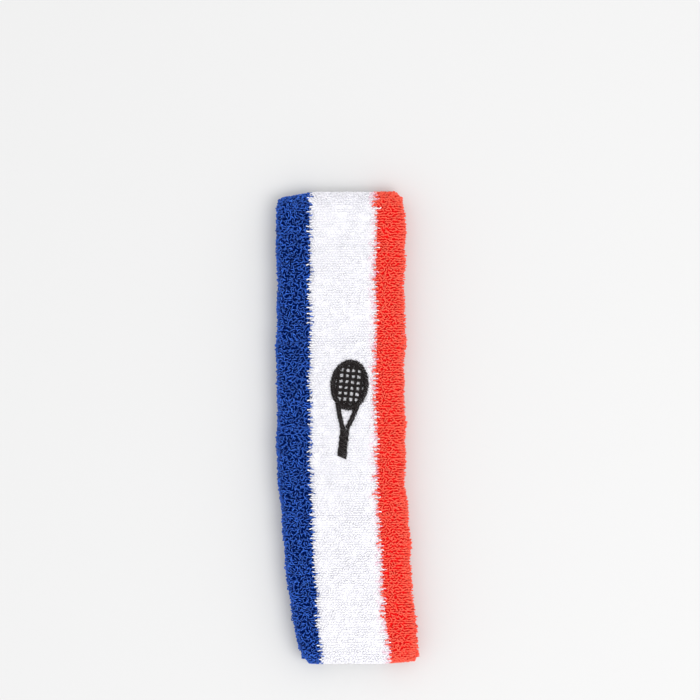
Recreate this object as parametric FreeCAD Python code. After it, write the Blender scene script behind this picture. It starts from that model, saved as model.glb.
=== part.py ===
"""Sports headband: a loop of double-layer terry knit in three colours, lying flattened.

Millimetres. X runs across the band, Y along the flattened loop, Z is up.
The origin is the centre of the bounding box, at the level the band lies on.

The loop is one strip whose two ends are sewn together at the middle of the back wall.
It bends all the way round, so it is built as short lengths that meet face to face:
lengths of wall hinge on their inner surface and folds on their outer surface, so that
every face only parts from its neighbour when the loop is opened into a ring. The ring
is left open at the middle of the front wall, where two lengths face each other.
"""
import FreeCAD, Part
import math
import os

from FreeCAD import Vector

# Driving dimensions
FLAT_LENGTH = 188.0
BAND_WIDTH = 50.4
WALL = 5.0
WALL_GAP = 2.0
BLUE_WIDTH = 13.2
RED_WIDTH = 10.7
EMBROIDERY_HEIGHT = 0.8

# Lengths of wall and fold
WALL_PITCH = 34.8
FOLD_FACETS = 6
OPEN_PIVOT_CLEARANCE = 0.2

# The lower end of the band drifts sideways where it was laid down, and its blue side curls under
DRIFT_POWER = 1.7
DRIFT_LEFT = 9.2
DRIFT_BLUE_BORDER = 4.6
DRIFT_RED_BORDER = 5.5
DRIFT_RIGHT = 5.5

# Embroidered racket
RACKET_TILT_DEG = 6.0
RACKET_CENTRE_Y = 7.7
RACKET_LENGTH = 39.0
HEAD_LENGTH = 20.0
HEAD_WIDTH = 15.0
HEAD_RIM = 1.9
STRING_WIDTH = 0.9
STRING_PITCH = 2.3
HANDLE_WIDTH = 3.4
HANDLE_LENGTH = 11.6
THROAT_ARM = 1.7
SPLIT_CLEARANCE = 0.15

# Seam and label on the inner surface of the back wall
SEAM_RIDGE_WIDTH = 3.6
SEAM_RIDGE_HEIGHT = 1.4
LABEL_LENGTH = 12.0
LABEL_WIDTH = 20.0
LABEL_THICKNESS = 0.4
LABEL_START = 3.0
STITCH_WIDTH = 0.5
STITCH_HEIGHT = 0.2
STITCH_INSET = 0.8

HEIGHT = 2 * WALL + WALL_GAP
HALF_LENGTH = FLAT_LENGTH / 2
FOLD_RADIUS = HEIGHT / 2
FOLD_CENTRE_Y = HALF_LENGTH - FOLD_RADIUS
FACET_DEG = 180.0 / FOLD_FACETS
ROUNDING = WALL / 2
CENTRE_X = DRIFT_RIGHT / 2


def drift(y, full):
    """How far a lengthwise line has moved in X at y; only the lower half drifts."""
    return full * (max(0.0, -y) / HALF_LENGTH) ** DRIFT_POWER


def lines_at(y):
    """X of the left edge, the blue border, the red border and the right edge at y."""
    left = -BAND_WIDTH / 2 + drift(y, DRIFT_LEFT)
    blue = -BAND_WIDTH / 2 + BLUE_WIDTH + drift(y, DRIFT_BLUE_BORDER)
    red = BAND_WIDTH / 2 - RED_WIDTH + drift(y, DRIFT_RED_BORDER)
    right = BAND_WIDTH / 2 + drift(y, DRIFT_RIGHT)
    return [x - CENTRE_X for x in (left, blue, red, right)]


class Station:
    """A cross-section of the strip: where its outer and inner surfaces are, as (y, z)."""

    def __init__(self, outer, inner):
        self.outer = outer
        self.inner = inner
        self.left, self.blue, self.red, self.right = lines_at(outer[0])

    def point(self, x, depth):
        """The point at x, from depth 0 on the outer surface to 1 on the inner."""
        y = self.outer[0] + depth * (self.inner[0] - self.outer[0])
        z = self.outer[1] + depth * (self.inner[1] - self.outer[1])
        return Vector(x, y, z)


def back_station(y):
    return Station((y, 0.0), (y, WALL))


def front_station(y):
    return Station((y, HEIGHT), (y, HEIGHT - WALL))


def fold_station(angle_deg, side):
    """A cross-section of a fold. side is 1 for the upper end and -1 for the lower end."""
    stretch = 1.0 / math.cos(math.radians(FACET_DEG / 2))
    outer_r = FOLD_RADIUS * stretch
    inner_r = (FOLD_RADIUS - WALL) * stretch
    c = math.cos(math.radians(angle_deg))
    s = math.sin(math.radians(angle_deg))
    outer = (side * (FOLD_CENTRE_Y + outer_r * c), FOLD_RADIUS + outer_r * s)
    inner = (side * (FOLD_CENTRE_Y + inner_r * c), FOLD_RADIUS + inner_r * s)
    return Station(outer, inner)


def edge_outline(station, side_x, border_x):
    """The section of an edge zone, rounded on its free side."""
    inward = ROUNDING if border_x > side_x else -ROUNDING
    outer_end = station.point(side_x + inward, 0.0)
    middle = station.point(side_x, 0.5)
    inner_end = station.point(side_x + inward, 1.0)
    inner_border = station.point(border_x, 1.0)
    outer_border = station.point(border_x, 0.0)
    return Part.Wire([
        Part.Arc(outer_end, middle, inner_end).toShape(),
        Part.LineSegment(inner_end, inner_border).toShape(),
        Part.LineSegment(inner_border, outer_border).toShape(),
        Part.LineSegment(outer_border, outer_end).toShape(),
    ])


def centre_outline(station):
    """The section of the white zone between the two borders."""
    corners = [
        station.point(station.blue, 0.0),
        station.point(station.red, 0.0),
        station.point(station.red, 1.0),
        station.point(station.blue, 1.0),
    ]
    return Part.makePolygon(corners + [corners[0]])


def solid_through(outlines):
    return Part.makeLoft(outlines, True, True)


def blue_zone(stations):
    return solid_through([edge_outline(s, s.left, s.blue) for s in stations])


def white_zone(stations):
    return solid_through([centre_outline(s) for s in stations])


def red_zone(stations):
    return solid_through([edge_outline(s, s.right, s.red) for s in stations])


def half_loop(side):
    """The lengths from the middle of the back wall round one fold to the middle of the front."""
    near = WALL_PITCH / 2
    far = near + WALL_PITCH
    back = [back_station(side * y) for y in (near, far)]
    fold = [fold_station(-90 + FACET_DEG * (i + 0.5), side) for i in range(FOLD_FACETS)]
    front = [front_station(side * y) for y in (far, near, OPEN_PIVOT_CLEARANCE)]
    return {
        "back_mid": back,
        "back_end": back[1:] + fold[:2],
        "fold": fold[1:-1],
        "front_end": fold[-2:] + front[:1],
        "front_mid": front[:2],
        "front_centre": front[1:],
    }


def strip_lengths():
    """The stations of each length of the strip, by name."""
    middle = WALL_PITCH / 2
    lengths = {"back_centre": [back_station(y) for y in (middle, 0.0, -middle)]}
    for end_name, side in (("upper", 1), ("lower", -1)):
        for name, stations in half_loop(side).items():
            lengths[f"{name}_{end_name}"] = stations
    return lengths


def flat_piece(outline, z, height):
    """A closed outline in the XY plane, raised from z by height."""
    return Part.Face(outline).extrude(Vector(0, 0, height)).translated(Vector(0, 0, z))


def ellipse_wire(half_length, half_width, centre_y):
    far_point = Vector(0, centre_y + half_length, 0)
    side_point = Vector(-half_width, centre_y, 0)
    return Part.Wire([Part.Ellipse(far_point, side_point, Vector(0, centre_y, 0)).toShape()])


def racket_head(centre_y):
    """A rim with crossed strings, all of satin stitch."""
    half_l = HEAD_LENGTH / 2
    half_w = HEAD_WIDTH / 2
    full = flat_piece(ellipse_wire(half_l, half_w, centre_y), 0, EMBROIDERY_HEIGHT)
    hole = flat_piece(ellipse_wire(half_l - HEAD_RIM, half_w - HEAD_RIM, centre_y),
                      0, EMBROIDERY_HEIGHT)
    head = full.cut(hole)
    count_x = int((half_w - HEAD_RIM) / STRING_PITCH)
    count_y = int((half_l - HEAD_RIM) / STRING_PITCH)
    strings = []
    for i in range(-count_x, count_x + 1):
        corner = Vector(i * STRING_PITCH - STRING_WIDTH / 2, centre_y - half_l, 0)
        strings.append(Part.makeBox(STRING_WIDTH, HEAD_LENGTH, EMBROIDERY_HEIGHT, corner))
    for i in range(-count_y, count_y + 1):
        corner = Vector(-half_w, centre_y + i * STRING_PITCH - STRING_WIDTH / 2, 0)
        strings.append(Part.makeBox(HEAD_WIDTH, STRING_WIDTH, EMBROIDERY_HEIGHT, corner))
    for string in strings:
        head = head.fuse(string.common(full))
    return head.removeSplitter()


def racket_throat(head_y, handle_top):
    """Two arms that run from the rim to the handle."""
    rim_y = head_y - 0.42 * HEAD_LENGTH
    rim_x = 0.27 * HEAD_WIDTH
    foot_x = HANDLE_WIDTH / 2
    arms = []
    for side in (-1, 1):
        corners = [
            Vector(side * rim_x, rim_y, 0),
            Vector(side * (rim_x + THROAT_ARM), rim_y + 0.6, 0),
            Vector(side * foot_x, handle_top, 0),
            Vector(0, handle_top, 0),
        ]
        arms.append(flat_piece(Part.makePolygon(corners + [corners[0]]), 0, EMBROIDERY_HEIGHT))
    return arms[0].fuse(arms[1])


def racket_handle(bottom_y):
    corner = Vector(-HANDLE_WIDTH / 2, bottom_y, 0)
    return Part.makeBox(HANDLE_WIDTH, HANDLE_LENGTH, EMBROIDERY_HEIGHT, corner)


def on_front(shape):
    """Tilt the racket about its middle and set it on the outer surface of the front wall."""
    placed = shape.copy()
    placed.rotate(Vector(0, 0, 0), Vector(0, 0, 1), -RACKET_TILT_DEG)
    placed.translate(Vector(0, RACKET_CENTRE_Y, HEIGHT))
    return placed


def above_line(shape, y):
    corner = Vector(-BAND_WIDTH / 2, y + SPLIT_CLEARANCE, HEIGHT)
    return shape.common(Part.makeBox(BAND_WIDTH, HALF_LENGTH, HEIGHT, corner))


def below_line(shape, y):
    corner = Vector(-BAND_WIDTH / 2, y - SPLIT_CLEARANCE - HALF_LENGTH, HEIGHT)
    return shape.common(Part.makeBox(BAND_WIDTH, HALF_LENGTH, HEIGHT, corner))


def embroidery():
    """The racket as four pieces, divided where the lengths of fabric under it are."""
    bottom = -RACKET_LENGTH / 2
    head_y = RACKET_LENGTH / 2 - HEAD_LENGTH / 2
    handle_top = bottom + HANDLE_LENGTH
    head = racket_head(head_y)
    throat = on_front(racket_throat(head_y, handle_top).cut(head))
    handle = on_front(racket_handle(bottom))
    placed_head = on_front(head)
    hinge_line = WALL_PITCH / 2
    return {
        "racket_head_upper_embroidery": above_line(placed_head, hinge_line),
        "racket_head_lower_embroidery": below_line(placed_head, hinge_line),
        "racket_throat_embroidery": above_line(throat, 0),
        "racket_handle_embroidery": below_line(handle, 0),
    }


def seam_thread():
    """The overlock ridge that covers the sewn ends."""
    xs = lines_at(0)
    left = xs[0] + ROUNDING
    width = xs[3] - ROUNDING - left
    corner = Vector(left, -SEAM_RIDGE_WIDTH / 2, WALL)
    return Part.makeBox(width, SEAM_RIDGE_WIDTH, SEAM_RIDGE_HEIGHT, corner)


def care_label():
    corner = Vector(-LABEL_WIDTH / 2 - CENTRE_X, LABEL_START, WALL)
    return Part.makeBox(LABEL_WIDTH, LABEL_LENGTH, LABEL_THICKNESS, corner)


def care_label_stitches():
    """One row of stitches along each long edge of the label."""
    rows = []
    for y in (LABEL_START + STITCH_INSET, LABEL_START + LABEL_LENGTH - STITCH_INSET - STITCH_WIDTH):
        corner = Vector(-LABEL_WIDTH / 2 - CENTRE_X + STITCH_INSET, y, WALL + LABEL_THICKNESS)
        rows.append(Part.makeBox(LABEL_WIDTH - 2 * STITCH_INSET, STITCH_WIDTH, STITCH_HEIGHT, corner))
    return Part.makeCompound(rows)


def all_pieces():
    pieces = {}
    for name, stations in strip_lengths().items():
        pieces[f"blue_knit_{name}"] = blue_zone(stations)
        pieces[f"white_knit_{name}"] = white_zone(stations)
        pieces[f"red_knit_{name}"] = red_zone(stations)
    pieces.update(embroidery())
    pieces["seam_overlock_thread"] = seam_thread()
    pieces["care_label"] = care_label()
    pieces["care_label_stitches"] = care_label_stitches()
    return pieces


os.makedirs("parts", exist_ok=True)
for node, shape in all_pieces().items():
    shape.exportStep(f"parts/{node}.step")
    box = shape.BoundBox
    print(node, shape.isValid(), round(shape.Volume, 1),
          [round(v, 2) for v in (box.XMin, box.XMax, box.YMin, box.YMax, box.ZMin, box.ZMax)])
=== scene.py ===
"""Sports headband: the looks of a flattened loop of terry knit with an embroidered racket.

Lengths here are millimetres in the CAD frame, and meshes are made in metres at the end.
The knit is a closed ground with yarn loops standing on it, row by row round the whole loop.
"""
import math

import bpy
import numpy as np
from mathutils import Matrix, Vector


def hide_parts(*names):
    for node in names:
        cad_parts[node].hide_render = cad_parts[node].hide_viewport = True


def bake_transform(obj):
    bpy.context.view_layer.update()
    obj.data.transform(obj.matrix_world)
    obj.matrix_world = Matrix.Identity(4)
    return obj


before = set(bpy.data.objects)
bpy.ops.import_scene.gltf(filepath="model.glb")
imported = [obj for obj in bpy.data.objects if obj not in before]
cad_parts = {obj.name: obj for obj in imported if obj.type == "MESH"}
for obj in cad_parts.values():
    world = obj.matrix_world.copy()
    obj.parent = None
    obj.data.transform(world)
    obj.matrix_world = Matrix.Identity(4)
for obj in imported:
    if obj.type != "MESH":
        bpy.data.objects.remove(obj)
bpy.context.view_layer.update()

MM = 0.001

# The band, as in the CAD part
HALF_LENGTH = 94.0
HEIGHT = 12.0
WALL = 5.0
BAND_WIDTH = 50.4
BLUE_WIDTH = 13.2
RED_WIDTH = 10.7
CENTRE_X = 2.75
FOLD_RADIUS = HEIGHT / 2
FOLD_CENTRE_Y = HALF_LENGTH - FOLD_RADIUS
WALL_PITCH = 34.8
DRIFT_POWER = 1.7
DRIFTS = (9.2, 4.6, 5.5, 5.5)

# Corners at the upper (1) and lower (-1) end: where the edge starts to draw in, and how far
LEFT_CORNERS = {1: (89.5, 1.8), -1: (84.5, 4.6)}
RIGHT_CORNERS = {1: (87.5, 3.2), -1: (88.5, 2.6)}

# Waviness of the lengthwise lines: height, length and phase of each wave
LEFT_WAVES = ((0.28, 7.3, 0.4), (0.18, 2.9, 0.0))
RIGHT_WAVES = ((0.34, 6.1, 1.9), (0.22, 2.5, 0.7))
BLUE_WAVES = ((0.22, 5.2, 1.0),)
RED_WAVES = ((0.26, 6.8, 2.2),)

# Fullness of the ends, where the walls start to fill out, and the sag of one corner at each
# end: its depth, the x where it starts and the reach over which it grows
END_FULLNESS = 0.5
FULLNESS_START = 74.0
FULLNESS_REACH = 12.0
CORNER_SAGS = {1: (2.6, -12.5, -15.0), -1: (1.1, 14.0, 13.0)}

# Unevenness of the front wall, and the stretch over which it grows from nothing at the fold
BROAD_SWELL = 0.22
FINE_SWELL = 0.15
SWELL_REACH = 12.0

# Places along a half loop: back wall, then the fold at 10 degrees a step, then the front wall
FOLD_START = FOLD_CENTRE_Y
FOLD_STEPS = 18.0
FOLD_END = FOLD_START + FOLD_STEPS
FOLD_MIDDLE = (FOLD_START + FOLD_END) / 2
PATH_END = FOLD_END + FOLD_CENTRE_Y

# Ground: how deep it lies under the loops, and the tongues that reach into its neighbours
GROUND_DEPTH = 1.2
MID_DEPTH = WALL / 2
EDGE_RADIUS = MID_DEPTH - GROUND_DEPTH
GROUND_STEP = 2.2
FOLD_GROUND_STEP = 0.75
TONGUE = 1.2
TONGUE_INSET = 0.35
CRISP = 0.04

# Terry loops
LOOP_HEIGHT = 1.3
ROW_PITCH = 0.96
COLUMN_PITCH = 1.1
EDGE_COLUMNS = 3
STAGGER = 0.25
ROW_SCATTER = 0.8
INNER_FOLD_ROWS = 26
INNER_FOLD_SQUEEZE = 0.38
OVERLAP_HEIGHT = 0.65
LOW_LOOP = 0.42
FOOT_DEPTH = 0.25

# Jagged borders between the colours; now and then the red reaches further into the white
BORDER_JAG = 0.38
BLUE_RAGGEDNESS = 0.22
RED_RAGGEDNESS = 0.26
RED_REACH = 0.8
RED_REACH_SHARE = 0.15

# Clumps of edge loops that lean together, counted from below the lower end
CLUMP = 2.3
CLUMP_COUNT = 100
CLUMP_ORIGIN = 100

SEAM_HALF_WIDTH = 1.8

COLOURS = ("blue", "white", "red")
BLUE, WHITE, RED = range(3)
rng = np.random.default_rng(11)


def drift(y, full):
    return full * (np.maximum(0.0, -y) / HALF_LENGTH) ** DRIFT_POWER


def lines_at(y):
    """X of the left edge, the blue border, the red border and the right edge at y."""
    starts = (-BAND_WIDTH / 2, -BAND_WIDTH / 2 + BLUE_WIDTH,
              BAND_WIDTH / 2 - RED_WIDTH, BAND_WIDTH / 2)
    return [x + drift(y, d) - CENTRE_X for x, d in zip(starts, DRIFTS)]


def corner_inset(y, start, depth):
    """How far an edge draws in near the end of the band, as a quarter of an ellipse."""
    length = HALF_LENGTH - start
    t = np.clip((np.abs(y) - start) / length, 0.0, 1.0)
    return depth * (1.0 - np.sqrt(1.0 - t * t))


def inset_at(y, corners):
    return np.where(y > 0, corner_inset(y, *corners[1]), corner_inset(y, *corners[-1]))


def waviness(y, waves):
    return sum(height * np.sin(y / length + phase) for height, length, phase in waves)


def edges_at(y):
    """The four lengthwise lines with the soft corners and the waviness of the knit."""
    left, blue, red, right = lines_at(y)
    return (left + inset_at(y, LEFT_CORNERS) + waviness(y, LEFT_WAVES),
            blue + waviness(y, BLUE_WAVES),
            red + waviness(y, RED_WAVES),
            right - inset_at(y, RIGHT_CORNERS) + waviness(y, RIGHT_WAVES))


def end_setback(x, side):
    """How far the fold stops short of the full length at x, because one corner sags."""
    depth, start, reach = CORNER_SAGS[side]
    return depth * np.clip((x - start) / reach, 0.0, 1.0)


def undulation(x, y):
    """Slight unevenness of the front wall, which lies on the back wall without being pressed."""
    broad = BROAD_SWELL * np.sin(x / 6.5 + 0.5) * np.sin(y / 11.0 + 1.0)
    fine = FINE_SWELL * np.sin(y / 4.7 + x / 9.0)
    return broad + fine


def on_loop(u, x, depth, side):
    """Point, outward normal and forward tangent at place u, for arrays of the same length."""
    u, x, depth = np.broadcast_arrays(np.asarray(u, float), x, depth)
    angle = np.radians(-90.0 + np.clip(u - FOLD_START, 0.0, FOLD_STEPS) * 180.0 / FOLD_STEPS)
    straight = np.minimum(u, FOLD_START) - np.maximum(u - FOLD_END, 0.0)
    radius = FOLD_RADIUS - depth
    y = straight + radius * np.cos(angle)
    z = FOLD_RADIUS + radius * np.sin(angle)
    toward_end = np.clip((y - FULLNESS_START) / FULLNESS_REACH, 0.0, 1.0)
    outside = np.clip((WALL - GROUND_DEPTH - depth) / (WALL - 2 * GROUND_DEPTH), 0.0, 1.0)
    fullness = END_FULLNESS - end_setback(x, side) * outside
    y = y + fullness * toward_end ** 2 * (3 - 2 * toward_end)
    on_front = np.clip((u - FOLD_END) / SWELL_REACH, 0.0, 1.0)
    z = z + undulation(x, side * y) * on_front
    zero = np.zeros_like(y)
    point = np.stack([x, side * y, z], -1)
    normal = np.stack([zero, side * np.cos(angle), np.sin(angle)], -1)
    tangent = np.stack([zero, -side * np.sin(angle), np.cos(angle)], -1)
    return point, normal, tangent


def y_of(u, depth, side):
    return on_loop(u, 0.0, depth, side)[0][..., 1]


class Geometry:
    """Quads of one piece, with what its material needs on each point, and bake coordinates."""

    def __init__(self):
        self.points, self.quads, self.uvs = [], [], []
        self.values = {"yarn_tint": [], "yarn_height": [], "yarn_blush": []}
        self.slots = []
        self.count = 0

    def add(self, points, quads, uvs, tint, height, blush, slot):
        self.points.append(points.reshape(-1, 3))
        self.quads.append(quads.reshape(-1, 4) + self.count)
        self.uvs.append(uvs.reshape(-1, 2))
        size = len(self.points[-1])
        for name, value in (("yarn_tint", tint), ("yarn_height", height), ("yarn_blush", blush)):
            self.values[name].append(np.broadcast_to(value, (size,)).astype(np.float32))
        self.slots.append(np.full(len(self.quads[-1]), slot, np.int32))
        self.count += size


def make_object(name, geometry, materials):
    points = np.concatenate(geometry.points) * MM
    quads = np.concatenate(geometry.quads)
    mesh = bpy.data.meshes.new(name)
    mesh.vertices.add(len(points))
    mesh.vertices.foreach_set("co", points.astype(np.float32).ravel())
    mesh.loops.add(quads.size)
    mesh.loops.foreach_set("vertex_index", quads.astype(np.int32).ravel())
    mesh.polygons.add(len(quads))
    mesh.polygons.foreach_set("loop_start", np.arange(0, quads.size, 4, dtype=np.int32))
    mesh.polygons.foreach_set("material_index", np.concatenate(geometry.slots))
    mesh.update(calc_edges=True)
    mesh.polygons.foreach_set("use_smooth", np.ones(len(quads), bool))
    for key, parts in geometry.values.items():
        attribute = mesh.attributes.new(key, "FLOAT", "POINT")
        attribute.data.foreach_set("value", np.concatenate(parts))
    layer = mesh.uv_layers.new(name="OFBake")
    layer.data.foreach_set("uv", np.concatenate(geometry.uvs).astype(np.float32).ravel())
    for material in materials:
        mesh.materials.append(material)
    mesh.validate()
    obj = bpy.data.objects.new(name, mesh)
    bpy.context.scene.collection.objects.link(obj)
    return obj


def unit(v):
    return v / np.maximum(np.linalg.norm(v, axis=-1, keepdims=True), 1e-9)


def sweep(centre, sideways, radius, squeeze=1.0):
    """Four-sided tubes along centre lines (n, k, 3). Returns their points and quads.

    squeeze is how thick each tube is sideways, as a share of its radius."""
    n, k = centre.shape[:2]
    along = unit(np.gradient(centre, axis=1))
    b = unit(sideways[:, None, :] - along * np.sum(sideways[:, None, :] * along, -1, keepdims=True))
    c = np.cross(along, b)
    turn = np.radians(45.0 + 90.0 * np.arange(4))
    b = b * np.broadcast_to(squeeze, (n,))[:, None, None]
    offset = (b[:, :, None, :] * np.cos(turn)[None, None, :, None]
              + c[:, :, None, :] * np.sin(turn)[None, None, :, None])
    points = centre[:, :, None, :] + offset * radius[:, :, None, None]
    ring = np.arange(4)
    corner = np.stack([ring, (ring + 1) % 4], -1)
    step = np.arange(k - 1)[:, None]
    quads = np.stack([step * 4 + corner[None, :, 0], step * 4 + corner[None, :, 1],
                      (step + 1) * 4 + corner[None, :, 1], (step + 1) * 4 + corner[None, :, 0]], -1)
    quads = quads.reshape(1, -1, 4) + (np.arange(n) * k * 4)[:, None, None]
    return points, quads


CELL_MARGIN = 0.05


def tube_cells(n, k, low, high):
    """Bake coordinates for n tubes of k rings, one cell each, between heights low and high."""
    across = max(1, math.ceil(math.sqrt(n / (high - low))))
    down = math.ceil(n / across)
    cell = np.array([1.0 / across, (high - low) / down])
    index = np.arange(n)
    corner = np.stack([index % across, index // across], -1) * cell + np.array([0.0, low])
    step = np.arange(k - 1)[:, None] / (k - 1)
    ring = np.arange(4)[None, :] / 4
    ds, dr = 1 / (k - 1), 1 / 4
    grid = np.stack(np.broadcast_arrays(step, ring), -1)
    quad = grid[:, :, None, :] + np.array([[0, 0], [0, dr], [ds, dr], [ds, 0]])[None, None]
    quad = CELL_MARGIN + (1 - 2 * CELL_MARGIN) * quad
    return corner[:, None, None, None, :] + quad[None] * cell


def ring_quads(rows, around):
    """Quads between closed rings of points that are numbered ring by ring."""
    index = np.arange(rows * around).reshape(rows, around)
    following = np.roll(index, -1, axis=1)
    return np.stack([index[:-1], following[:-1], following[1:], index[1:]], -1).reshape(-1, 4)


# ---------------------------------------------------------------- racket embroidery

RACKET_TILT = math.radians(6.0)
RACKET_CENTRE = np.array([0.0, 7.7])
HEAD_CENTRE_Y = 9.5
HEAD_HALF = (7.5, 10.0)
HEAD_RIM = 1.9
STRING_WIDTH = 0.9
STRING_PITCH = 2.3
THROAT_WIDTH = 1.7
HANDLE_WIDTH = 3.4
RACKET_BOTTOM = -19.5
HANDLE_TOP = -7.9
THREAD_PITCH = 0.42
THREAD_RADIUS = 0.24
STITCH_BASE = HEIGHT - 0.55


def tilted(points):
    """From racket coordinates to the front wall."""
    c, s = math.cos(-RACKET_TILT), math.sin(-RACKET_TILT)
    return points @ np.array([[c, s], [-s, c]]) + RACKET_CENTRE


def head_rim():
    angle = np.linspace(0, 2 * math.pi, 97)
    half_x, half_y = HEAD_HALF[0] - HEAD_RIM / 2, HEAD_HALF[1] - HEAD_RIM / 2
    return np.stack([half_x * np.cos(angle), HEAD_CENTRE_Y + half_y * np.sin(angle)], -1)


def string_lines():
    """The strings as pairs of end points: the long ones, then the cross ones."""
    half_x, half_y = HEAD_HALF[0] - HEAD_RIM, HEAD_HALF[1] - HEAD_RIM
    mains, crosses = [], []
    count = int(half_x / STRING_PITCH)
    for i in range(-count, count + 1):
        reach = half_y * math.sqrt(1 - (i * STRING_PITCH / half_x) ** 2)
        x = i * STRING_PITCH
        mains.append(np.array([[x, HEAD_CENTRE_Y - reach], [x, HEAD_CENTRE_Y + reach]]))
    count = int(half_y / STRING_PITCH)
    for i in range(-count, count + 1):
        reach = half_x * math.sqrt(1 - (i * STRING_PITCH / half_y) ** 2)
        y = HEAD_CENTRE_Y + i * STRING_PITCH
        crosses.append(np.array([[-reach, y], [reach, y]]))
    return mains, crosses


def throat_lines():
    left = np.array([[-3.9, 1.7], [-2.7, -2.8], [-0.85, HANDLE_TOP]])
    return [left, left * np.array([-1.0, 1.0])]


def handle_line():
    return np.array([[0.0, HANDLE_TOP], [0.0, RACKET_BOTTOM]])


def strokes():
    """Every stroke of the racket on the wall, as (points, width)."""
    mains, crosses = string_lines()
    found = [(head_rim(), HEAD_RIM)]
    found += [(line, STRING_WIDTH) for line in mains + crosses]
    found += [(line, THROAT_WIDTH) for line in throat_lines()]
    found.append((handle_line(), HANDLE_WIDTH))
    return [(tilted(line), width) for line, width in found]


def stroke_distance(x, y):
    """Distance from the edge of the nearest stroke; it is negative under the embroidery."""
    nearest = np.full(x.shape, FAR_AWAY)
    here = np.stack([x, y], -1)
    for line, width in strokes():
        for a, b in zip(line, line[1:]):
            d = b - a
            t = np.clip(((here - a) @ d) / (d @ d), 0.0, 1.0)
            gap = np.linalg.norm(here - a - t[..., None] * d, axis=-1) - width / 2
            nearest = np.minimum(nearest, gap)
    return nearest


# ---------------------------------------------------------------- label

LABEL_LENGTH = 20.0
LABEL_WIDTH = 12.0
LABEL_GAP = 3.0
LABEL_X = (-LABEL_LENGTH / 2 - CENTRE_X, LABEL_LENGTH / 2 - CENTRE_X)
LABEL_Y = (LABEL_GAP, LABEL_GAP + LABEL_WIDTH)


def under_label(x, y):
    return (x > LABEL_X[0]) & (x < LABEL_X[1]) & (y > LABEL_Y[0]) & (y < LABEL_Y[1])


# ---------------------------------------------------------------- terry loops

# Each colour's loops: radius of the yarn, width of the foot, bulge past it, random lean and
# spread of directions, height and its unevenness, spread of shade and scatter off the grid.
# Of the edge loops, tuft is how unevenly they stick out and clumps how far they lean together.
# dips is the share of the flat loops that is low.
LOOK = {
    "blue": dict(radius=0.225, foot=0.78, bulge=0.42, lean=0.34, spread=0.90, height=1.0,
                 uneven=0.16, shade=0.20, scatter=0.13, tuft=0.10, dips=0.0, clumps=0.22),
    "white": dict(radius=0.272, foot=0.70, bulge=0.30, lean=0.09, spread=0.50, height=0.84,
                  uneven=0.06, shade=0.03, scatter=0.09, tuft=0.0, dips=0.12, clumps=0.0),
    "red": dict(radius=0.280, foot=0.66, bulge=0.40, lean=0.20, spread=0.66, height=0.97,
                uneven=0.14, shade=0.04, scatter=0.08, tuft=0.22, dips=0.0, clumps=0.36),
}
LOOP_RINGS = 6
LOOP_UV_BOTTOM = 0.2

# Share of their height that loops keep under the embroidery, beside it and on the seam
UNDER_STITCHES = 0.45
BESIDE_STITCHES = 0.92
ON_SEAM = 0.62
FAR_AWAY = 99.0


def row_places(face):
    """Where the rows of loops stand along half the loop.

    The inside of the fold has more rows than its length needs, because it opens wide."""
    if face > 0:
        return np.arange(-ROW_PITCH / 2, PATH_END + ROW_PITCH, ROW_PITCH)
    wall = np.arange(-ROW_PITCH / 2, FOLD_START, ROW_PITCH)
    inner_fold = FOLD_START + FOLD_STEPS * (np.arange(INNER_FOLD_ROWS) + 0.5) / INNER_FOLD_ROWS
    return np.concatenate([wall, inner_fold, PATH_END - wall[::-1]])


def row_across(x0, x1, stagger):
    """One row of loops: x, rise from the middle of the wall, and how far each faces sideways.

    The row is flat between x0 and x1 and goes round the edge beyond them."""
    count = int(round((x1 - x0) / COLUMN_PITCH))
    flat_x = x0 + (np.arange(count) + 0.5 + stagger) * (x1 - x0) / count
    turn = np.radians((np.arange(EDGE_COLUMNS) + 0.5) * 90.0 / EDGE_COLUMNS)
    x = np.concatenate([x0 - EDGE_RADIUS * np.sin(turn)[::-1], flat_x,
                        x1 + EDGE_RADIUS * np.sin(turn)])
    rise = np.concatenate([EDGE_RADIUS * np.cos(turn)[::-1], np.full(count, EDGE_RADIUS),
                           EDGE_RADIUS * np.cos(turn)])
    outward = np.concatenate([-np.sin(turn)[::-1], np.zeros(count), np.sin(turn)])
    return x, rise, outward


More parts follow.
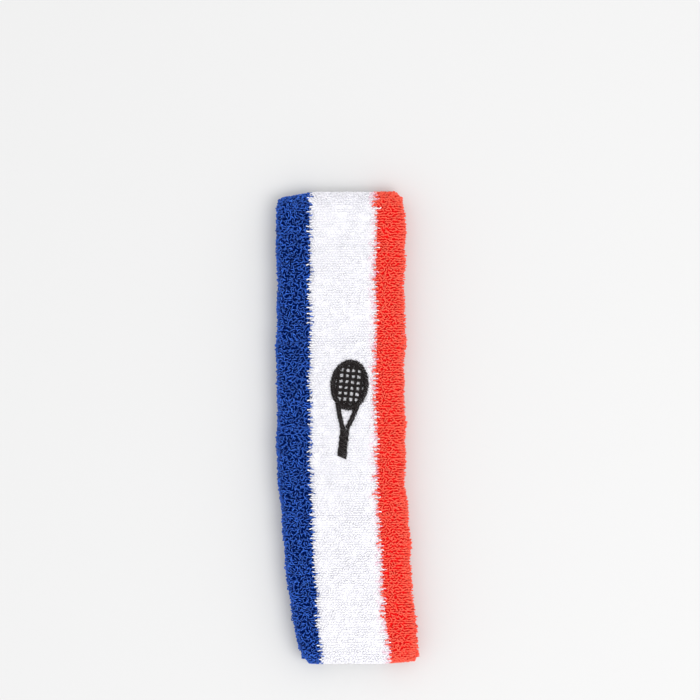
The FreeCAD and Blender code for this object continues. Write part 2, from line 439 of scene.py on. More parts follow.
def loop_sites(side, face):
    """Where the loops stand on one face of half the loop.

    face is 1 for the outer face and -1 for the inner face. Returns a dictionary of arrays with
    an entry for each loop: its place u and x, the point, the directions up, over and along the
    band there, its colour, the colour borders in its row, and so on."""
    base_depth = GROUND_DEPTH if face > 0 else WALL - GROUND_DEPTH
    scatter_of = np.array([LOOK[name]["scatter"] for name in COLOURS])
    sites = []
    for i, row in enumerate(row_places(face)):
        y = float(y_of(row, base_depth, side))
        left, blue, red, right = [float(v) for v in edges_at(np.array(y))]
        x0, x1 = left + MID_DEPTH, right - MID_DEPTH
        alternate = (-1) ** i
        jag_blue = BORDER_JAG * alternate + rng.normal(0, BLUE_RAGGEDNESS)
        jag_red = BORDER_JAG * alternate + rng.normal(0, RED_RAGGEDNESS)
        if rng.random() < RED_REACH_SHARE:
            jag_red -= RED_REACH
        x, rise, outward = row_across(x0, x1, STAGGER * alternate)
        colour = np.where(x < blue + jag_blue, BLUE, np.where(x > red + jag_red, RED, WHITE))
        scatter = scatter_of[colour]
        x = x + np.where(outward == 0, rng.normal(0, 1, len(x)) * scatter, 0.0)
        u = row + rng.normal(0, ROW_SCATTER, len(x)) * scatter
        depth = MID_DEPTH - face * rise
        sites.append(np.stack([u, x, depth, outward, colour,
                               np.full(len(x), blue), np.full(len(x), red),
                               np.minimum(x - x0, x1 - x)], -1))
    u, x, depth, outward, colour, blue, red, from_edge = np.concatenate(sites).T
    point, normal, tangent = on_loop(u, x, depth, side)
    across = np.array([1.0, 0.0, 0.0])
    up = unit(across * outward[:, None] + face * normal * np.sqrt(1 - outward ** 2)[:, None])
    over = np.cross(tangent, up) * (face * side)
    return dict(u=u, x=x, point=point, up=up, over=over, along=tangent, outward=outward,
                colour=colour.astype(int), blue=blue, red=red, from_edge=from_edge,
                face=np.full(len(u), face))


def closeness(distance, reach):
    """1 at no distance, and 0 from reach onward."""
    return np.clip(1 - distance / reach, 0, 1)


def surroundings(sites):
    """What shapes a loop where it stands, as true or false or as a share from 0 to 1."""
    x, y = sites["x"], sites["point"][:, 1]
    flat = sites["outward"] == 0
    to_border = np.minimum(np.abs(x - sites["blue"]), np.abs(x - sites["red"]))
    return dict(
        inner_fold=(sites["face"] < 0) & (sites["u"] > FOLD_START) & (sites["u"] < FOLD_END),
        flat=flat,
        border=np.clip(1.25 - to_border / 1.6, 0, 1) * flat,
        red_rim=np.clip((x - sites["red"] - 4.2) / 3.0, 0, 1),
        lower=np.clip((-20.0 - y) / 30.0, 0, 1),
    )


def loop_directions(sites, look, around):
    """Unit vectors from foot to foot of each loop, and square to that."""
    swing = rng.normal(0, look["spread"], len(sites["u"]))
    swing = swing * np.where(around["inner_fold"], 0.3, 1.0)
    swing = swing * (1 - 0.75 * around["border"]) * (1 - 0.6 * around["red_rim"])
    a = unit(sites["over"] * np.cos(swing)[:, None] + sites["along"] * np.sin(swing)[:, None])
    b = unit(np.cross(sites["up"], a))
    return a, b


def loop_sizes(sites, look, around):
    """Width of the foot, bulge and height of each loop."""
    n = len(sites["u"])
    foot = look["foot"] * rng.uniform(0.85, 1.2, n)
    foot = foot * (1 + 0.45 * around["border"]) * (1 + 0.3 * around["red_rim"])
    bulge = look["bulge"] * rng.uniform(0.5, 1.5, n)
    height = LOOP_HEIGHT * look["height"] * (1.03 - look["uneven"] * rng.uniform(0, 1.3, n))
    height = height * np.where(sites["overlap"], OVERLAP_HEIGHT, 1.0)
    inner_wall = (sites["face"] < 0) & ~around["inner_fold"]
    beside_edge = np.clip(1.6 - sites["from_edge"] / 2.0, 0, 1) * (np.abs(sites["outward"]) < 0.9)
    height = height * np.where(inner_wall, 1.25 + 0.4 * beside_edge, 1.0)
    tuft = rng.uniform(-1.0, 1.3, n) * look["tuft"] * (sites["outward"] != 0)
    low = (rng.random(n) < look["dips"]) & around["flat"]
    height = height * (1 + tuft) * np.where(low, LOW_LOOP, 1.0)
    return foot, bulge, height


def loop_lean(sites, look, around):
    """How far the top of each loop leans, and how far its feet are skewed.

    The edge loops lean in clumps, most of all in the lower part of the band."""
    n = len(sites["u"])
    lean = (sites["over"] * rng.normal(0, look["lean"], n)[:, None]
            + sites["along"] * rng.normal(0, look["lean"], n)[:, None])
    skew = rng.normal(0, 0.14, n)
    clump = ((sites["point"][:, 1] + CLUMP_ORIGIN) / CLUMP).astype(int)
    clump_lean = rng.uniform(-1, 1, CLUMP_COUNT)[clump]
    loose = 1 + 0.7 * around["lower"]
    lean[:, 0] += look["clumps"] * clump_lean * loose * np.abs(sites["outward"])
    return lean, skew


def red_bleed(sites, around):
    """How pink each white loop is: red shows through some of those beside the red border."""
    n = len(sites["u"])
    toward_red = closeness(sites["red"] - sites["x"], 3.4)
    stained = rng.random(n) < 0.15 + 0.45 * toward_red
    return np.where(stained, toward_red ** 0.6 * rng.uniform(0.35, 1.0, n), 0.0) * around["flat"]


def sideways_lean(sites, colour, around):
    """Extra lean along x: loops lean over the colour borders, and the red rim leans outward."""
    x, blue, red, flat = sites["x"], sites["blue"], sites["red"], around["flat"]
    if colour == BLUE:
        return 0.45 * closeness(blue - x, 1.6) * flat
    if colour == WHITE:
        return (closeness(red - x, 3.4) * 0.45 - closeness(x - blue, 1.8) * 0.5) * flat
    ragged = (0.3 + 0.7 * around["lower"]) * rng.uniform(-0.5, 1.2, len(x))
    return (0.4 + 0.55 * ragged) * around["red_rim"] - 0.55 * closeness(x - red, 1.5) * flat


def share_kept(sites, colour):
    """How much of its height each loop keeps where it is stitched or sewn down."""
    y = sites["point"][:, 1]
    share = np.ones(len(y))
    if colour == WHITE:
        front = (sites["face"] > 0) & (sites["u"] > FOLD_END)
        gap = np.where(front, stroke_distance(sites["x"], y), FAR_AWAY)
        share = np.where(gap < 0.15, UNDER_STITCHES, np.where(gap < 0.9, BESIDE_STITCHES, 1.0))
    seam = (np.abs(y) < 0.9) & (sites["u"] < FOLD_START) & (sites["face"] > 0)
    return share * np.where(seam, ON_SEAM, 1.0)


def loop_shapes(sites, colour):
    """Centre lines, sideways vectors, radii and yarn values of the loops of one colour."""
    look = LOOK[COLOURS[colour]]
    n = len(sites["u"])
    around = surroundings(sites)
    a, b = loop_directions(sites, look, around)
    foot, bulge, height = loop_sizes(sites, look, around)
    lean, skew = loop_lean(sites, look, around)
    blush = red_bleed(sites, around) if colour == WHITE else np.zeros(n)
    lean[:, 0] += sideways_lean(sites, colour, around)
    height = height * share_kept(sites, colour)
    theta = np.linspace(0, math.pi, LOOP_RINGS)[None, :]
    s, c = np.sin(theta), np.cos(theta)
    run = -c * (foot / 2)[:, None] - c * s * bulge[:, None]
    rise = height[:, None] * s ** 0.8 - FOOT_DEPTH
    slide = skew[:, None] * c
    centre = (sites["point"][:, None, :] + a[:, None, :] * run[..., None]
              + b[:, None, :] * slide[..., None] + sites["up"][:, None, :] * rise[..., None]
              + lean[:, None, :] * (s ** 1.5)[..., None])
    radius = look["radius"] * rng.uniform(0.88, 1.12, n)[:, None] * (0.85 + 0.2 * s)
    radius = np.broadcast_to(radius, centre.shape[:2])
    squeeze = np.where(around["inner_fold"], INNER_FOLD_SQUEEZE, 1.0)
    tint = rng.normal(1.0, look["shade"], n)
    # How far up its loop each ring stands, lower on the overlap loops: the yarn material paints
    # shade at the feet and a highlight at the top from it
    level = s ** 1.2 * np.where(sites["overlap"], OVERLAP_HEIGHT, 1.0)[:, None]
    return centre, b, radius, squeeze, tint, level, blush


def take(sites, mask):
    return {key: value[mask] for key, value in sites.items()}


def keep_clear(sites):
    """Leave out the loops that the seam ridge and the label cover."""
    y, x = sites["point"][:, 1], sites["x"]
    inner_back = (sites["face"] < 0) & (sites["u"] < FOLD_START)
    under_seam = (np.abs(y) < SEAM_HALF_WIDTH - 0.3) & (sites["outward"] == 0)
    return take(sites, ~(inner_back & (under_seam | under_label(x, y))))


def add_loops(geometry, sites, colour):
    centre, b, radius, squeeze, tint, level, blush = loop_shapes(sites, colour)
    points, quads = sweep(centre, b, radius, squeeze)
    shape = points.shape[:3]
    cells = tube_cells(len(tint), LOOP_RINGS, LOOP_UV_BOTTOM, 1.0)
    geometry.add(points, quads, cells,
                 np.broadcast_to(tint[:, None, None], shape).ravel(),
                 np.broadcast_to(level[:, :, None], shape).ravel(),
                 np.broadcast_to(blush[:, None, None], shape).ravel(), 0)


# ---------------------------------------------------------------- ground under the loops


def edge_outline(colour, layer, lines, top, bottom, radius):
    """The section of the blue or red ground, which is round at its outer edge."""
    left, blue, red, right = lines
    edge, border = (left, blue) if colour == BLUE else (right, red)
    sign = 1.0 if colour == BLUE else -1.0
    centre = edge + sign * MID_DEPTH
    spans = {"both": (90, -90, 9), "outer": (90, 0, 6), "inner": (0, -90, 6)}
    angle = np.radians(np.linspace(*spans[layer]))
    arc = np.stack([centre - sign * radius * np.cos(angle),
                    MID_DEPTH - radius * np.sin(angle)], -1)
    xs = np.linspace(border, centre, 5)[:-1]
    first = np.stack([xs, np.full(len(xs), top)], -1)
    last = np.stack([xs[::-1], np.full(len(xs), bottom)], -1)
    return np.concatenate([first, arc, last])


def ground_outline(colour, layer, lines, inset):
    """The section of one colour zone of the ground, as (x, depth) points."""
    top = MID_DEPTH if layer == "inner" else GROUND_DEPTH + inset
    bottom = MID_DEPTH if layer == "outer" else WALL - GROUND_DEPTH - inset
    if colour != WHITE:
        return edge_outline(colour, layer, lines, top, bottom, EDGE_RADIUS - inset)
    xs = np.linspace(lines[1], lines[2], 9)
    return np.concatenate([np.stack([xs, np.full(len(xs), top)], -1),
                           np.stack([xs[::-1], np.full(len(xs), bottom)], -1)])


def ground_stations(start, end):
    """Places and insets of the rings of one ground, with a thinner tongue past each end."""
    step = (end - start) / max(2, int(round((end - start) / GROUND_STEP)))
    if FOLD_START <= start and end <= FOLD_END:
        step = FOLD_GROUND_STEP
    places = np.arange(start, end + step / 2, step)
    stations = [(start - TONGUE, TONGUE_INSET), (start, TONGUE_INSET),
                (start, 0.0), (start + CRISP, 0.0)]
    stations += [(place, 0.0) for place in places[1:-1]]
    stations += [(end - CRISP, 0.0), (end, 0.0),
                 (end, TONGUE_INSET), (end + TONGUE, TONGUE_INSET)]
    return stations


def end_caps(ring):
    """Quads that close a ring whose first half lies opposite its second half."""
    around = len(ring)
    return [[ring[i], ring[i + 1], ring[around - 2 - i], ring[around - 1 - i]]
            for i in range(around // 2 - 1)]


def add_ground(geometry, colour, layer, start, end, side):
    """The closed ground of one piece; its tongues lie inside its neighbours."""
    line_depth = WALL - GROUND_DEPTH if layer == "inner" else GROUND_DEPTH
    rings = []
    for place, inset in ground_stations(start, end):
        lines = edges_at(y_of(place, line_depth, side))
        outline = ground_outline(colour, layer, lines, inset)
        rings.append(on_loop(place, outline[:, 0], outline[:, 1], side)[0])
    points = np.stack(rings)
    rows, around = points.shape[:2]
    index = np.arange(rows * around).reshape(rows, around)
    caps = end_caps(index[0]) + end_caps(index[-1])
    quads = np.concatenate([ring_quads(rows, around), np.array(caps)])
    column = (quads % around) / around
    line = (quads // around) / rows
    uvs = np.stack([0.02 + 0.96 * column, 0.01 + 0.16 * line], -1)
    geometry.add(points, quads, uvs, 1.0, 0.0, 0.0, 1)


# ---------------------------------------------------------------- materials


def new_material(name):
    material = bpy.data.materials.new(name)
    material.use_nodes = True
    tree = material.node_tree
    tree.nodes.clear()
    output = tree.nodes.new("ShaderNodeOutputMaterial")
    shader = tree.nodes.new("ShaderNodeBsdfPrincipled")
    tree.links.new(shader.outputs["BSDF"], output.inputs["Surface"])
    return material, tree, shader


def attribute_node(tree, name):
    node = tree.nodes.new("ShaderNodeAttribute")
    node.attribute_name = name
    return node.outputs["Fac"]


def math_node(tree, operation, first, second):
    node = tree.nodes.new("ShaderNodeMath")
    node.operation = operation
    for socket, value in zip(node.inputs, (first, second)):
        if isinstance(value, (int, float)):
            socket.default_value = value
        else:
            tree.links.new(value, socket)
    return node.outputs["Value"]


def mix_colours(tree, factor, first, second, blend="MIX"):
    node = tree.nodes.new("ShaderNodeMix")
    node.data_type = "RGBA"
    node.blend_type = blend
    for socket, value in zip((node.inputs[0], node.inputs[6], node.inputs[7]),
                             (factor, first, second)):
        if isinstance(value, bpy.types.NodeSocket):
            tree.links.new(value, socket)
        elif isinstance(value, tuple):
            socket.default_value = (*value, 1.0)
        else:
            socket.default_value = value
    return node.outputs[2]


def noise(tree, scale, detail):
    place = tree.nodes.new("ShaderNodeTexCoord")
    node = tree.nodes.new("ShaderNodeTexNoise")
    node.inputs["Scale"].default_value = scale
    node.inputs["Detail"].default_value = detail
    tree.links.new(place.outputs["Object"], node.inputs["Vector"])
    return node.outputs["Fac"]


def bump(tree, shader, height, strength, distance):
    node = tree.nodes.new("ShaderNodeBump")
    node.inputs["Strength"].default_value = strength
    node.inputs["Distance"].default_value = distance
    tree.links.new(height, node.inputs["Height"])
    tree.links.new(node.outputs["Normal"], shader.inputs["Normal"])


def cotton(name, deep, bright, glow, blush=None, soft=0.2, patchy=0.16):
    """Yarn of brushed cotton: painted shade towards the ground and a painted highlight at the top
    of each loop, uneven from loop to loop, fuzzy.

    glow is how far light of each colour spreads inside the yarn, soft is how much of it
    does, and patchy is how much the shade wanders over the band."""
    material, tree, shader = new_material(name)
    # deep is the yarn colour with painted shade at the feet of a loop, bright the colour with a
    # painted highlight at its top
    level = attribute_node(tree, "yarn_height")
    colour = mix_colours(tree, level, deep, bright)
    if blush:
        colour = mix_colours(tree, attribute_node(tree, "yarn_blush"), colour, blush)
    fibre = noise(tree, scale=2600.0, detail=3.0)
    patch = noise(tree, scale=160.0, detail=2.0)
    uneven = math_node(tree, "MULTIPLY_ADD", fibre, 0.20)
    uneven.node.inputs[2].default_value = 0.88
    broad = math_node(tree, "MULTIPLY_ADD", patch, patchy)
    broad.node.inputs[2].default_value = 1.0 - patchy / 2
    gain = math_node(tree, "MULTIPLY", uneven, broad)
    gain = math_node(tree, "MULTIPLY", gain, attribute_node(tree, "yarn_tint"))
    grey = tree.nodes.new("ShaderNodeCombineColor")
    for socket in grey.inputs:
        tree.links.new(gain, socket)
    colour = mix_colours(tree, 1.0, colour, grey.outputs["Color"], "MULTIPLY")
    tree.links.new(colour, shader.inputs["Base Color"])
    shader.inputs["Roughness"].default_value = 0.88
    shader.inputs["Specular IOR Level"].default_value = 0.1
    shader.inputs["Sheen Weight"].default_value = 0.05
    shader.inputs["Sheen Roughness"].default_value = 0.6
    shader.inputs["Subsurface Weight"].default_value = soft
    shader.inputs["Subsurface Radius"].default_value = glow
    shader.inputs["Subsurface Scale"].default_value = 0.0012
    bump(tree, shader, fibre, strength=0.5, distance=0.00008)
    return material


def knit_ground(name, colour):
    """The backing between the loops: fine knit ribs, its colour darkened as painted shade in the
    gaps between the loops.
    """
    material, tree, shader = new_material(name)
    ribs = noise(tree, scale=1400.0, detail=4.0)
    lighter = tuple(min(0.97, c * 1.5) for c in colour)
    tree.links.new(mix_colours(tree, ribs, colour, lighter), shader.inputs["Base Color"])
    shader.inputs["Roughness"].default_value = 0.95
    shader.inputs["Specular IOR Level"].default_value = 0.0
    bump(tree, shader, ribs, strength=0.6, distance=0.0002)
    return material


def satin_thread(name, dark, light, roughness):
    """Embroidery or sewing thread with a soft gloss along the twist."""
    material, tree, shader = new_material(name)
    fibre = noise(tree, scale=3200.0, detail=2.0)
    colour = mix_colours(tree, fibre, dark, light)
    tree.links.new(colour, shader.inputs["Base Color"])
    shader.inputs["Roughness"].default_value = roughness
    shader.inputs["Specular IOR Level"].default_value = 0.2
    bump(tree, shader, fibre, strength=0.35, distance=0.00005)
    return material


def label_ribbon(name):
    """Satin ribbon with a fine crossing weave."""
    material, tree, shader = new_material(name)
    place = tree.nodes.new("ShaderNodeTexCoord")
    wave = tree.nodes.new("ShaderNodeTexWave")
    wave.inputs["Scale"].default_value = 900.0
    wave.inputs["Distortion"].default_value = 1.0
    tree.links.new(place.outputs["Object"], wave.inputs["Vector"])
    colour = mix_colours(tree, wave.outputs["Fac"], (0.78, 0.78, 0.80), (0.90, 0.90, 0.91))
    tree.links.new(colour, shader.inputs["Base Color"])
    shader.inputs["Roughness"].default_value = 0.42
    shader.inputs["Sheen Weight"].default_value = 0.2
    bump(tree, shader, wave.outputs["Fac"], strength=0.3, distance=0.00005)
    return material


# The first colour of each yarn is painted shade at the feet of its loops, the second a painted
# highlight at their tops
YARN = {
    "blue": cotton("blue_terry_yarn", (0.0, 0.012, 0.15), (0.029, 0.116, 0.535),
                   (0.2, 0.4, 1.0), soft=0.15),
    "white": cotton("white_terry_yarn", (0.90, 0.893, 0.957), (0.963, 0.956, 0.999),
                    (1.0, 1.0, 1.0), blush=(0.96, 0.36, 0.52), soft=0.18, patchy=0.03),
    "red": cotton("red_terry_yarn", (1.0, 0.022, 0.020), (1.0, 0.134, 0.083),
                  (1.0, 0.3, 0.2), soft=0.25, patchy=0.05),
}
# Each ground colour is darker than its yarn: painted shade in the gaps between the loops
GROUND = {
    "blue": knit_ground("blue_knit_ground", (0.0, 0.007, 0.070)),
    "white": knit_ground("white_knit_ground", (0.85, 0.845, 0.885)),
    "red": knit_ground("red_knit_ground", (0.68, 0.008, 0.010)),
}
BLACK_THREAD = satin_thread("black_embroidery_thread", (0.006, 0.004, 0.004),
                            (0.016, 0.012, 0.012), 0.6)
SEWING_THREAD = satin_thread("white_sewing_thread", (0.72, 0.72, 0.75), (0.88, 0.88, 0.90), 0.6)
LABEL_RIBBON = label_ribbon("label_ribbon")


# ---------------------------------------------------------------- the pieces of each half loop, and where they would bend

# Y where a piece starts and stops bending at the hinge near the middle and at the next one,
# and how far from the hinge line the inner skin of a fold bends
NEAR_RAMP = (-32.5, 67.3)
FAR_RAMP = (9.08, FOLD_START)
INNER_HALF_RAMP = 1.0


def bend(obj):
    """Bake the world transform of obj into its mesh."""
    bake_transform(obj)


def fold_ramp(sign, layer):
    """Where a fold piece starts and stops bending; sign is -1 behind and 1 in front."""
    reach = FOLD_RADIUS / 2 if layer == "outer" else INNER_HALF_RAMP
    middle_y = FOLD_CENTRE_Y + FOLD_RADIUS / 2
    middle_z = FOLD_RADIUS + sign * FOLD_RADIUS / 2
    near = (middle_y - reach, middle_z + sign * reach)
    far = (middle_y + reach, middle_z - sign * reach)
    return (near, far) if sign < 0 else (far, near)


def end_name(side):
    return "upper" if side > 0 else "lower"


def lengths(side):
    """Each length of half the loop: name, layers, first and last place, bodies and ramp."""
    end = end_name(side)
    near_low, near_high = NEAR_RAMP
    far_low, far_high = FAR_RAMP
    back_near = ("back_centre", f"back_mid_{end}")
    back_far = (f"back_mid_{end}", f"back_end_{end}")
    fold_back = (f"back_end_{end}", f"fold_{end}")
    fold_front = (f"fold_{end}", f"front_end_{end}")
    front_far = (f"front_end_{end}", f"front_mid_{end}")
    front_near = (f"front_mid_{end}", f"front_centre_{end}")
    middle = PATH_END - WALL_PITCH
    return [
        ("back_near", "both", 0.0, WALL_PITCH, back_near, ((near_low, 0), (near_high, 0))),
        ("back_far", "both", WALL_PITCH, FOLD_START, back_far, ((far_low, 0), (far_high, 0))),
        ("fold_back", "outer", FOLD_START, FOLD_MIDDLE, fold_back, fold_ramp(-1, "outer")),
        ("fold_back_inner", "inner", FOLD_START, FOLD_MIDDLE, fold_back, fold_ramp(-1, "inner")),
        ("fold_front", "outer", FOLD_MIDDLE, FOLD_END, fold_front, fold_ramp(1, "outer")),
        ("fold_front_inner", "inner", FOLD_MIDDLE, FOLD_END, fold_front, fold_ramp(1, "inner")),
        ("front_far", "both", FOLD_END, middle, front_far, ((far_high, 0), (far_low, 0))),
        ("front_near", "both", middle, PATH_END, front_near, ((near_high, 0), (near_low, 0))),
    ]


def sites_of_length(sites, colour, layer, first, last):
    """The loops of one colour from first to last, and a row past each end of a wall length.

    The rows past the ends hide the gaps that open between lengths when the band bends. On the
    inner face only the edge loops have them."""
    overlaps = (sites["face"] > 0) | (sites["outward"] != 0)
    reach = np.where(overlaps, ROW_PITCH, 0.0) if layer == "both" else 0.0
    u = sites["u"]
    chosen = take(sites, (u >= first - reach) & (u < last + reach) & (sites["colour"] == colour))
    chosen["overlap"] = (chosen["u"] < first) | (chosen["u"] >= last)
    return chosen


def build_length(colour, faces, length, side):
    """One colour of one length: its loops on each face that the layer has, and its ground."""
    name, layer, first, last, bodies, ramp = length
    colour_name = COLOURS[colour]
    geometry = Geometry()
    for face, sites in faces.items():
        if layer == ("outer" if face < 0 else "inner"):
            continue
        chosen = sites_of_length(sites, colour, layer, first, last)
        if len(chosen["u"]):
            add_loops(geometry, chosen, colour)
    add_ground(geometry, colour, layer, first, last, side)
    obj = make_object(f"{colour_name}_terry_{name}_{end_name(side)}", geometry,
                      [YARN[colour_name], GROUND[colour_name]])
    bend(obj)
    if layer != "inner":
        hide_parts(f"{colour_name}_knit_{bodies[1]}")
    if name == "back_near" and side > 0:
        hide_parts(f"{colour_name}_knit_{bodies[0]}")


def build_knit():
    for side in (1, -1):
        faces = {face: keep_clear(loop_sites(side, face)) for face in (1, -1)}
        for colour in range(len(COLOURS)):
            for length in lengths(side):
                build_length(colour, faces, length, side)


# ---------------------------------------------------------------- stitching

ACROSS = (1.0, 0.0, 0.0)
LENGTHWISE = (0.0, 1.0, 0.0)
UPWARD = (0.0, 0.0, 1.0)


def resample(line, pitch):
    """Points along a polyline at even spacing, with the unit direction at each."""
    steps = np.diff(line, axis=0)
    lengths_along = np.concatenate([[0.0], np.cumsum(np.linalg.norm(steps, axis=1))])
    count = max(2, int(round(lengths_along[-1] / pitch)))
    at = (np.arange(count) + 0.5) * lengths_along[-1] / count
    points = np.stack([np.interp(at, lengths_along, line[:, i]) for i in range(2)], -1)
    ahead = np.stack([np.interp(at + 0.05, lengths_along, line[:, i]) for i in range(2)], -1)
    behind = np.stack([np.interp(at - 0.05, lengths_along, line[:, i]) for i in range(2)], -1)
    return points, unit(ahead - behind)


def satin_stitches(lines, width, base, crown):
    """Threads laid side by side across each stroke, highest along its middle."""
    centres, ways = [], []
    for line in lines:
        points, direction = resample(line, THREAD_PITCH)
        n = len(points)
        crossways = np.stack([-direction[:, 1], direction[:, 0]], -1)
        slant = direction * (0.15 + 0.12 * width)
        t = np.linspace(-1, 1, 7)
        reach = (width / 2) * rng.uniform(0.92, 1.06, n) + rng.choice([-0.14, 0.0, 0.16], n)
        flat = (points[:, None, :] + crossways[:, None, :] * (t * reach[:, None])[..., None]
                + slant[:, None, :] * t[None, :, None])
        z = base + crown * np.sqrt(np.clip(1 - t * t * 0.98, 0, 1))[None, :]
        z = z + rng.normal(0, 0.03, n)[:, None] + undulation(flat[..., 0], flat[..., 1])
        centres.append(np.concatenate([flat, z[..., None]], -1))
        ways.append(np.concatenate([direction, np.zeros((n, 1))], -1))
    return np.concatenate(centres), np.concatenate(ways)


def thread_object(name, runs, radius, material):
    """One object from several groups of threads, each (centre lines, sideways vectors)."""
    geometry = Geometry()
    total = sum(len(centre) for centre, _ in runs)
    done = 0
    for centre, way in runs:
        n, k = centre.shape[:2]
        points, quads = sweep(centre, way, np.full((n, k), radius))
        cells = tube_cells(n, k, done / total, (done + n) / total)
        geometry.add(points, quads, cells, 1.0, 1.0, 0.0, 0)
        done += n
    return make_object(name, geometry, [material])


def build_racket():
    mains, crosses = [[tilted(line) for line in group] for group in string_lines()]
    rim = satin_stitches([tilted(head_rim())], HEAD_RIM, STITCH_BASE, crown=0.75)
    long_strings = satin_stitches(mains, STRING_WIDTH, STITCH_BASE - 0.05, crown=0.5)
    cross_strings = satin_stitches(crosses, STRING_WIDTH, STITCH_BASE + 0.05, crown=0.5)
    throat_arms = [tilted(line) for line in throat_lines()]
    throat = satin_stitches(throat_arms, THROAT_WIDTH, STITCH_BASE, crown=0.65)
    handle = satin_stitches([tilted(handle_line())], HANDLE_WIDTH, STITCH_BASE, crown=0.85)
    pieces = [
        ("racket_head_satin_stitch", [rim, long_strings, cross_strings], 1,
         ["racket_head_upper_embroidery", "racket_head_lower_embroidery"]),
        ("racket_throat_satin_stitch", [throat], 1, ["racket_throat_embroidery"]),
        ("racket_handle_satin_stitch", [handle], -1, ["racket_handle_embroidery"]),
    ]
    for name, runs, side, nodes in pieces:
        obj = thread_object(name, runs, THREAD_RADIUS, BLACK_THREAD)
        bend(obj)
        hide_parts(*nodes)


SEAM_BASE = WALL - 1.1
SEAM_OVERHANG = 0.4
SEAM_STITCH_PITCH = 0.8
SEAM_STITCH_SLANT = 0.55
SEAM_THREAD_RADIUS = 0.17
ROLL_STATIONS = 40
ROLL_HALF_WIDTH = 1.6
ROLL_HEIGHT = 1.8


def seam_span():
    """X where the ridge starts and ends, a little way round the edges."""
    left, _, _, right = [float(v) for v in lines_at(np.array(0.0))]
    return left + MID_DEPTH - SEAM_OVERHANG, right - MID_DEPTH + SEAM_OVERHANG


def seam_crown(x):
    """Height of the ridge as a share, which runs out into the knit at both edges."""
    x0, x1 = seam_span()
    t = np.abs(2 * (x - x0) / (x1 - x0) - 1)
    return np.sqrt(np.clip(1 - t ** 14, 0, 1)) * (1 + 0.05 * np.sin(x / 1.7))


def seam_threads(side):
    """Slanting threads over one half of the ridge, and the chain along its foot."""
    x0, x1 = seam_span()
    count = int((x1 - x0) / SEAM_STITCH_PITCH)
    x = np.linspace(x0 + 0.3, x1 - 0.7, count)
    t = np.linspace(0, 1, 6)
    over_x = x[:, None] + SEAM_STITCH_SLANT * t[None, :] * side
    over_y = side * (0.02 + (SEAM_HALF_WIDTH - 0.1) * t)
    over_z = SEAM_BASE + (0.6 + 1.45 * np.cos(t * math.pi / 2 * 0.95)) * seam_crown(x)[:, None]
    over = np.stack(np.broadcast_arrays(over_x, over_y, over_z), -1)
    t = np.linspace(0, 1, 5)
    chain_x = x[:-1, None] + (x[1] - x[0]) * t[None, :]
    chain_y = side * (SEAM_HALF_WIDTH - 0.15 + 0.18 * np.sin(t * math.pi))
    chain_z = SEAM_BASE + 0.68 * seam_crown(x[:-1])[:, None]
    chain = np.stack(np.broadcast_arrays(chain_x, chain_y, chain_z), -1)
    return [(over, np.tile(ACROSS, (count, 1))), (chain, np.tile(UPWARD, (count - 1, 1)))]


def seam_roll(side):
    """Half of the soft roll of knit under the threads."""
    xs = np.linspace(*seam_span(), ROLL_STATIONS)
    angles = np.linspace(0, math.pi / 2, 6)
    section_y = np.append(side * ROLL_HALF_WIDTH * np.sin(angles), 0.0)
    section_z = np.append(ROLL_HEIGHT * np.cos(angles), 0.0)
    z = SEAM_BASE + section_z[None, :] * seam_crown(xs)[:, None]
    points = np.stack(np.broadcast_arrays(xs[:, None], section_y[None, :], z), -1)
    rows, around = points.shape[:2]
    quads = ring_quads(rows, around)
    uvs = np.stack([(quads % around) / around, (quads // around) / rows], -1)
    geometry = Geometry()
    # At level 0.3 the roll takes the white yarn colour mostly with its painted foot shade
    geometry.add(points, quads, uvs, 1.0, 0.3, 0.0, 0)
    return geometry


def build_seam():
    """The overlocked ridge over the sewn ends: slanting threads over a soft roll."""
    for side in (1, -1):
        end = end_name(side)
        threads = thread_object(f"seam_overlock_thread_{end}", seam_threads(side),
                                SEAM_THREAD_RADIUS, SEWING_THREAD)
        roll = make_object(f"seam_rolled_edge_{end}", seam_roll(side), [YARN["white"]])
        for piece in (threads, roll):
            bend(piece)
        if side > 0:
            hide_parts("seam_overlock_thread")


LABEL_GRID = (41, 25)
LABEL_MARGIN = 1.05
LABEL_STITCH = 1.7
LABEL_STITCH_PITCH = 2.3
LABEL_THREAD_RADIUS = 0.16


def label_height(x, y):
    """The ribbon arches a little between its rows of stitches, over the loops beside it."""
    middle = np.clip((y - LABEL_Y[0]) / (LABEL_Y[1] - LABEL_Y[0]), 0, 1)
    return WALL - 0.25 + 0.35 * np.sin(middle * math.pi) + 0.06 * np.sin(x / 2.1 + y)


def label_ribbon_geometry():
    columns, rows = LABEL_GRID
    gx, gy = np.meshgrid(np.linspace(*LABEL_X, columns), np.linspace(*LABEL_Y, rows), indexing="ij")
    points = np.stack([gx, gy, label_height(gx, gy)], -1)
    index = np.arange(gx.size).reshape(gx.shape)
    quads = np.stack([index[:-1, :-1], index[1:, :-1], index[1:, 1:], index[:-1, 1:]],
                     -1).reshape(-1, 4)
    uvs = np.stack([(quads // rows) / (columns - 1), (quads % rows) / (rows - 1)], -1)
    geometry = Geometry()
    geometry.add(points, quads, uvs, 1.0, 1.0, 0.0, 0)
    return geometry


def label_stitches():
    """A row of running stitches along each long edge of the label."""
    runs = []
    t = np.linspace(0, 1, 6)
    for row_y in (LABEL_Y[0] + LABEL_MARGIN, LABEL_Y[1] - LABEL_MARGIN):
        starts = np.arange(LABEL_X[0] + 1.0, LABEL_X[1] - 2.4, LABEL_STITCH_PITCH)
        x = starts[:, None] + LABEL_STITCH * t[None, :]
        y = np.full_like(x, row_y)
        z = label_height(x, y) + 0.22 * np.sin(t * math.pi)[None, :] - 0.04
        runs.append((np.stack([x, y, z], -1), np.tile(LENGTHWISE, (len(starts), 1))))
    return runs


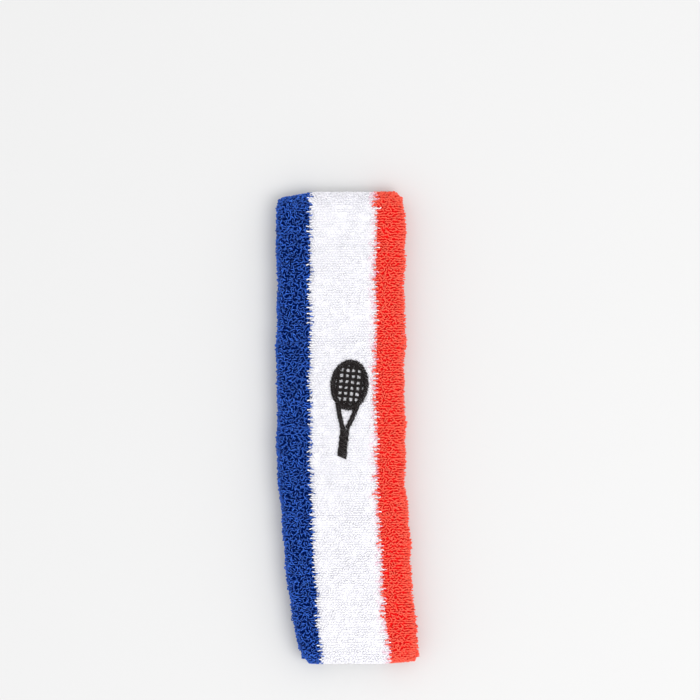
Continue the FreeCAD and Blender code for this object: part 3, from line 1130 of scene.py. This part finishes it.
def build_label():
    label = make_object("care_label_ribbon", label_ribbon_geometry(), [LABEL_RIBBON])
    stitches = thread_object("care_label_running_stitch", label_stitches(),
                             LABEL_THREAD_RADIUS, SEWING_THREAD)
    for obj, node, slot in ((label, "care_label", "label_satin"),
                            (stitches, "care_label_stitches", "seam_thread")):
        bend(obj)
        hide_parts(node)


# ---------------------------------------------------------------- room, light and camera, in metres

FLOOR_SIZE = 3.0
FLOOR_GREY = 0.665
WORLD_STRENGTH = 1.06
KEY_PLACE = (0.5, -0.3, 1.2)
KEY_SIZE = 0.9
KEY_POWER = 7.0
LENS = 135.0
SENSOR_WIDTH = 36.0
VIEW_WIDTH = 0.278
VIEW_CENTRE = (0.0012, 0.03105)


def build_stage():
    half = FLOOR_SIZE / 2
    mesh = bpy.data.meshes.new("floor")
    mesh.from_pydata([(-half, -half, 0), (half, -half, 0), (half, half, 0), (-half, half, 0)],
                     [], [(0, 1, 2, 3)])
    floor = bpy.data.objects.new("floor", mesh)
    bpy.context.scene.collection.objects.link(floor)
    material, _, shader = new_material("pale_floor")
    shader.inputs["Base Color"].default_value = (FLOOR_GREY, FLOOR_GREY, FLOOR_GREY, 1.0)
    shader.inputs["Roughness"].default_value = 0.95
    shader.inputs["Specular IOR Level"].default_value = 0.1
    mesh.materials.append(material)


def area_light(name, place, target, size, power):
    data = bpy.data.lights.new(name, "AREA")
    data.shape = "DISK"
    data.size = size
    data.energy = power
    light = bpy.data.objects.new(name, data)
    light.location = place
    aim = Vector(target) - Vector(place)
    light.rotation_euler = aim.to_track_quat("-Z", "Y").to_euler()
    bpy.context.scene.collection.objects.link(light)


def build_light():
    """A bright even room, and one large lamp for soft shadows."""
    world = bpy.data.worlds.new("studio")
    world.use_nodes = True
    background = world.node_tree.nodes["Background"]
    background.inputs["Color"].default_value = (1.0, 1.0, 1.0, 1.0)
    background.inputs["Strength"].default_value = WORLD_STRENGTH
    bpy.context.scene.world = world
    area_light("key_light", KEY_PLACE, (0, 0, 0), KEY_SIZE, KEY_POWER)


def build_camera():
    """Straight above the band, through a long lens, a little towards its upper end."""
    data = bpy.data.cameras.new("camera")
    data.lens = LENS
    data.sensor_width = SENSOR_WIDTH
    distance = VIEW_WIDTH * data.lens / data.sensor_width
    camera = bpy.data.objects.new("camera", data)
    camera.location = (*VIEW_CENTRE, HEIGHT * MM + distance)
    bpy.context.scene.collection.objects.link(camera)
    bpy.context.scene.camera = camera


build_knit()
build_racket()
build_seam()
build_label()
build_stage()
build_light()
build_camera()
bpy.context.scene.view_settings.view_transform = "Standard"
